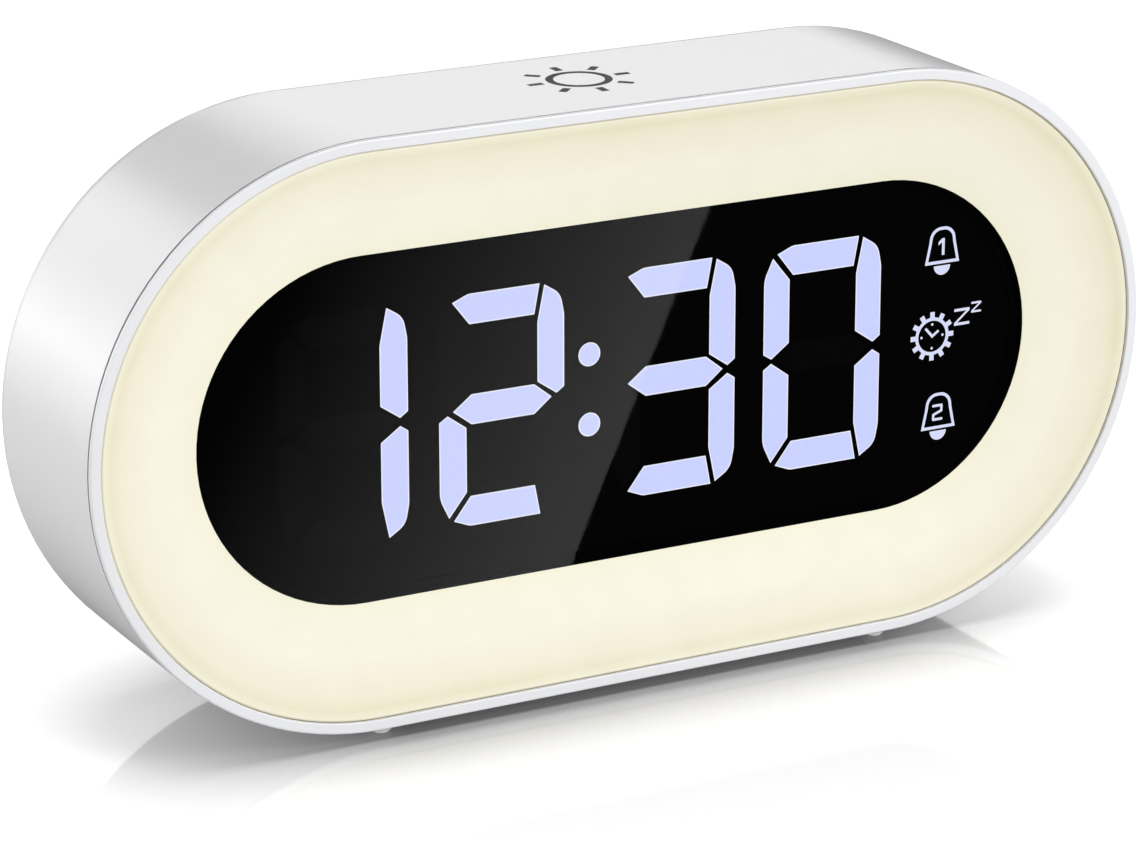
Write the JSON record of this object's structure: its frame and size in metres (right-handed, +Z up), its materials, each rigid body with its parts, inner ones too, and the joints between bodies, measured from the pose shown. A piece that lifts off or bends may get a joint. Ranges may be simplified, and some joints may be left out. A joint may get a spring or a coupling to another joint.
{
  "type": "alarm clock",
  "caption": "Mains-powered digital alarm clock in a stadium-shaped case, with a lit dished ring round a smoked display.",
  "frame": {"origin": "bottom centre of the whole clock, on the plane its feet rest on", "axes": "+X to the right as seen from the front, +Y from the display to the back, +Z up"},
  "size_m": [0.1584, 0.0342, 0.0812],
  "materials": {
    "case_white": "gloss white moulding",
    "bezel_white": "satin white moulding",
    "diffuser_milk": "milky translucent, lit from behind",
    "lens_smoke": "polished smoked acrylic",
    "gasket_black": "matt adhesive foam",
    "display_black": "matt black",
    "segment_lit": "glowing bluish white",
    "segment_dark": "unlit smoked resin",
    "cover_white": "fine spark-eroded texture",
    "foot_rubber": "soft white rubber",
    "mark_grey": "pad-printed ink",
    "tray_white": "bright white reflector",
    "board_green": "solder mask over glass fibre",
    "led_resin": "clear resin over phosphor",
    "chip_black": "moulded epoxy",
    "capacitor_sleeve": "shrunk sleeve",
    "crystal_can": "drawn can",
    "screw_steel": "zinc plated",
    "contact_brass": "plated spring strip",
    "cell_steel": "nickel-plated can",
    "basket_steel": "pressed basket",
    "cone_paper": "pressed paper",
    "electrode_copper": "thin foil",
    "wire_jacket": "insulated lead",
    "button_white": "satin white cap",
    "plunger_red": "moulded plunger"
  },
  "bodies": {
    "clock": {"alarm_1_icon": "segment_lit", "alarm_2_icon": "segment_lit", "board_screws": "screw_steel", "capacitors": "capacitor_sleeve", "cell_contact_negative": "contact_brass", "cell_contact_positive": "contact_brass", "clock_crystal": "crystal_can", "coin_cell": "cell_steel", "colon_dots": "segment_lit", "controller_chip": "chip_black", "cover_screws": "screw_steel", "display_block": "display_black", "display_board": "board_green", "display_driver": "chip_black", "display_leds": "led_resin", "display_lens": "lens_smoke", "display_screws": "screw_steel", "front_bezel": "bezel_white", "front_left_foot": "foot_rubber", "front_right_foot": "foot_rubber", "hour_tens_segments": "segment_lit", "hour_units_segments": "segment_lit", "housing": "case_white", "inlet_pin": "contact_brass", "lens_gasket": "gasket_black", "light_diffuser": "diffuser_milk", "light_tray": "tray_white", "main_board": "board_green", "minute_tens_segments": "segment_lit", "minute_units_segments": "segment_lit", "pin_strips": "chip_black", "power_inlet": "chip_black", "rear_cover": "cover_white", "rear_left_foot": "foot_rubber", "rear_right_foot": "foot_rubber", "ring_board": "board_green", "ring_leds": "led_resin", "snooze_icon": "segment_lit", "socket_strips": "chip_black", "speaker_cone": "cone_paper", "speaker_frame": "basket_steel", "speaker_leads": "wire_jacket", "speaker_magnet": "basket_steel", "switch_bodies": "chip_black", "touch_lead": "wire_jacket", "touch_mark": "mark_grey", "touch_plate": "electrode_copper", "tray_screws": "screw_steel", "unlit_segments": "segment_dark"},
    "time_set_key": {"time_set_button": "button_white", "time_set_plunger": "plunger_red"},
    "alarm_1_key": {"alarm_1_button": "button_white", "alarm_1_plunger": "plunger_red"},
    "down_key": {"down_button": "button_white", "down_plunger": "plunger_red"},
    "up_key": {"up_button": "button_white", "up_plunger": "plunger_red"},
    "alarm_2_key": {"alarm_2_button": "button_white", "alarm_2_plunger": "plunger_red"},
    "door": {"battery_door": "cover_white"}
  },
  "joints": [
    {"name": "time_set_press", "type": "slide", "parent": "clock", "child": "time_set_key", "axis": [0, -1, 0], "range_m": [0, 0.0005], "stiffness_N_per_m": 1500},
    {"name": "alarm_1_press", "type": "slide", "parent": "clock", "child": "alarm_1_key", "axis": [0, -1, 0], "range_m": [0, 0.0005], "stiffness_N_per_m": 1500},
    {"name": "down_press", "type": "slide", "parent": "clock", "child": "down_key", "axis": [0, -1, 0], "range_m": [0, 0.0005], "stiffness_N_per_m": 1500},
    {"name": "up_press", "type": "slide", "parent": "clock", "child": "up_key", "axis": [0, -1, 0], "range_m": [0, 0.0005], "stiffness_N_per_m": 1500},
    {"name": "alarm_2_press", "type": "slide", "parent": "clock", "child": "alarm_2_key", "axis": [0, -1, 0], "range_m": [0, 0.0005], "stiffness_N_per_m": 1500},
    {"name": "battery_door_pull", "type": "slide", "parent": "clock", "child": "door", "axis": [0, 1, 0], "range_m": [0, 0.015]}
  ]
}
